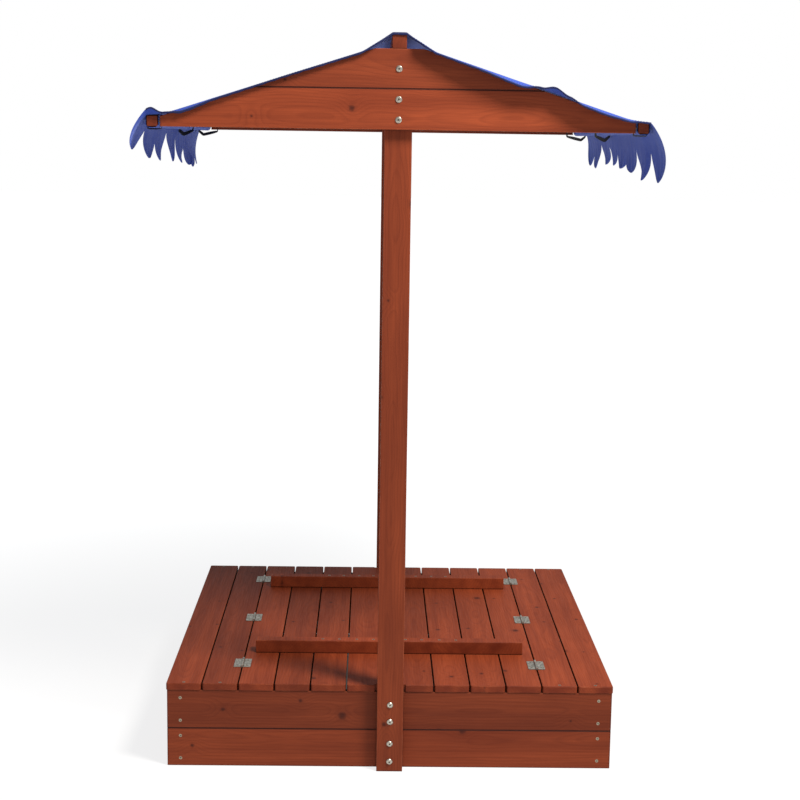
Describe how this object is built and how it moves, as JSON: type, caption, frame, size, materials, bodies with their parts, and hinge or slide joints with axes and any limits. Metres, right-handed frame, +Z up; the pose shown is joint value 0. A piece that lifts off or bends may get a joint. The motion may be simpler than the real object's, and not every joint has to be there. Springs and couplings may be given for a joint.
{
  "type": "sandbox with cover",
  "caption": "Square wooden sandbox with a slatted folding cover that opens into two benches, and a fabric roof with a leaf fringe on two posts.",
  "frame": {"origin": "centre of the footprint, on the ground", "axes": "+X right, +Y from the front post to the rear post, +Z up"},
  "size_m": [1.2412, 1.28, 1.8076],
  "materials": {
    "stained_wood": "stained softwood, satin",
    "canopy_fabric": "woven polyester, matte",
    "strap_webbing": "woven webbing",
    "zinc_bolts": "bright zinc plated",
    "screw_steel": "zinc plated",
    "hinge_steel": "galvanised, dull"
  },
  "bodies": {
    "root": {"canopy": "canopy_fabric", "canopy_frame_screws": "screw_steel", "canopy_fringes": "canopy_fabric", "canopy_straps": "strap_webbing", "corner_blocks": "stained_wood", "frame_bolts": "zinc_bolts", "frame_nuts": "zinc_bolts", "front_gable_lower_board": "stained_wood", "front_gable_upper_board": "stained_wood", "front_post": "stained_wood", "front_wall_lower_board": "stained_wood", "front_wall_upper_board": "stained_wood", "ledge_hinge_screws": "screw_steel", "ledge_screws": "screw_steel", "left_eave_rail": "stained_wood", "left_ledge_hinge_leaves": "hinge_steel", "left_ledge_hinge_pins": "hinge_steel", "left_ledge_inner_board": "stained_wood", "left_ledge_outer_board": "stained_wood", "left_wall_lower_board": "stained_wood", "left_wall_upper_board": "stained_wood", "rear_gable_lower_board": "stained_wood", "rear_gable_upper_board": "stained_wood", "rear_post": "stained_wood", "rear_wall_lower_board": "stained_wood", "rear_wall_upper_board": "stained_wood", "ridge_bar": "stained_wood", "right_eave_rail": "stained_wood", "right_ledge_hinge_leaves": "hinge_steel", "right_ledge_hinge_pins": "hinge_steel", "right_ledge_inner_board": "stained_wood", "right_ledge_outer_board": "stained_wood", "right_wall_lower_board": "stained_wood", "right_wall_upper_board": "stained_wood", "wall_screws": "screw_steel"},
    "left_seat": {"left_seat_cleats": "stained_wood", "left_seat_hinge_pins": "hinge_steel", "left_seat_inner_board": "stained_wood", "left_seat_lower_hinge_leaves": "hinge_steel", "left_seat_outer_board": "stained_wood", "left_seat_screws": "screw_steel", "left_seat_upper_hinge_leaves": "hinge_steel"},
    "left_back": {"left_back_battens": "stained_wood", "left_back_hinge_leaves": "hinge_steel", "left_back_inner_board": "stained_wood", "left_back_outer_board": "stained_wood", "left_back_screws": "screw_steel"},
    "right_seat": {"right_seat_cleats": "stained_wood", "right_seat_hinge_pins": "hinge_steel", "right_seat_inner_board": "stained_wood", "right_seat_lower_hinge_leaves": "hinge_steel", "right_seat_outer_board": "stained_wood", "right_seat_screws": "screw_steel", "right_seat_upper_hinge_leaves": "hinge_steel"},
    "right_back": {"right_back_battens": "stained_wood", "right_back_hinge_leaves": "hinge_steel", "right_back_inner_board": "stained_wood", "right_back_outer_board": "stained_wood", "right_back_screws": "screw_steel"}
  },
  "joints": [
    {"name": "left_seat_hinge", "type": "hinge", "parent": "root", "child": "left_seat", "pos_m": [-0.38092, 0, 0.219], "axis": [0, -1, 0], "range_deg": [0, 180]},
    {"name": "left_backrest_hinge", "type": "hinge", "parent": "left_seat", "child": "left_back", "pos_m": [-0.20008, 0, 0.195], "axis": [0, 1, 0], "range_deg": [0, 81.5]},
    {"name": "right_seat_hinge", "type": "hinge", "parent": "root", "child": "right_seat", "pos_m": [0.38092, 0, 0.219], "axis": [0, 1, 0], "range_deg": [0, 180]},
    {"name": "right_backrest_hinge", "type": "hinge", "parent": "right_seat", "child": "right_back", "pos_m": [0.20008, 0, 0.195], "axis": [0, -1, 0], "range_deg": [0, 81.5]}
  ],
  "couplings": [
    {"joint": "left_backrest_hinge", "follows": "left_seat_hinge", "ratio": 0.45278},
    {"joint": "right_backrest_hinge", "follows": "right_seat_hinge", "ratio": 0.45278}
  ]
}
